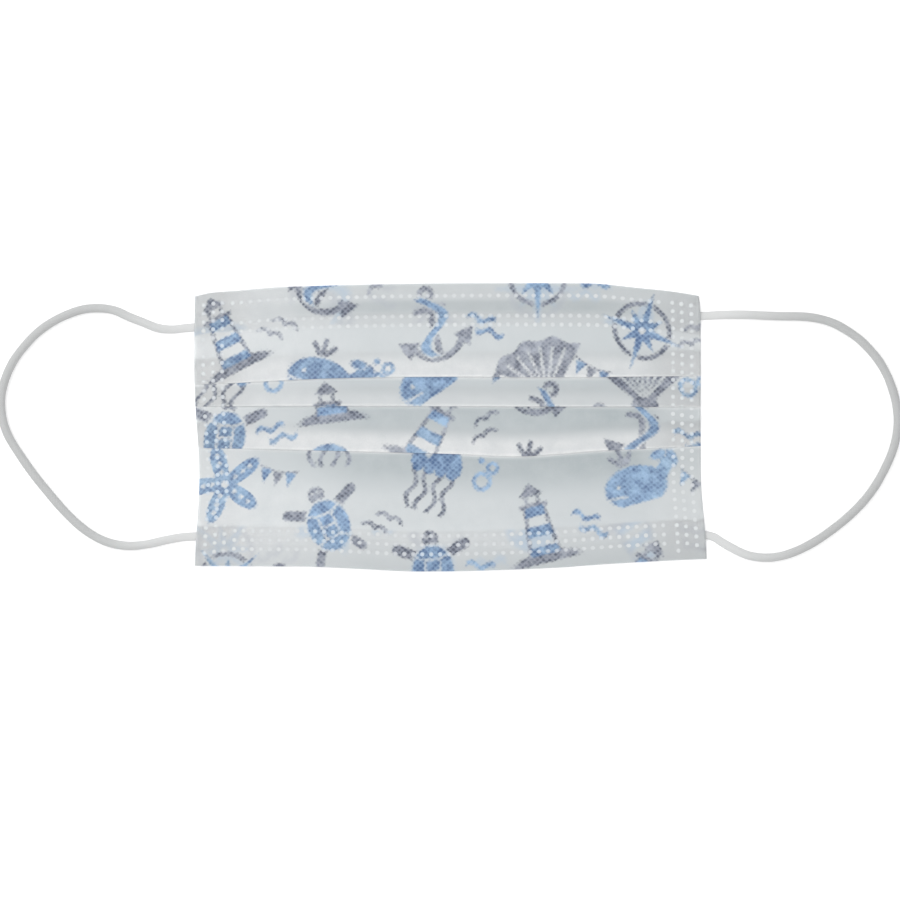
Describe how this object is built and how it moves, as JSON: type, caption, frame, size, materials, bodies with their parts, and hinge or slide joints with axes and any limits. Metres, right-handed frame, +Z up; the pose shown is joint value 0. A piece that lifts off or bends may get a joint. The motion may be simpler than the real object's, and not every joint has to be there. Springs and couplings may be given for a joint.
{
  "type": "surgical face mask",
  "caption": "disposable pleated face mask with shingled pleats, turned hems, a hidden nose wire, welded sides and two round elastic ear loops, lying flat with its outer face up",
  "frame": {"origin": "middle of the mask's own outline, without the ear loops, on the surface that it lies on", "axes": "+X across the mask from side weld to side weld, +Y from the chin edge to the nose edge, +Z up out of the outer face"},
  "size_m": [0.3162, 0.1008, 0.006],
  "materials": {
    "printed_nonwoven": "spunbonded polypropylene nonwoven, off-white, matt, with a pale blue and slate print",
    "nose_wire": "steel wire in a pale grey plastic sheath",
    "elastic": "round knitted elastic, pale grey, matt"
  },
  "bodies": {
    "root": {"pleated_cover": "printed_nonwoven", "nose_wire": "nose_wire", "loop_end_left_nose": "elastic", "loop_end_left_chin": "elastic", "loop_end_right_nose": "elastic", "loop_end_right_chin": "elastic", "ear_loop_left": "elastic", "ear_loop_right": "elastic"}
  },
  "joints": []
}
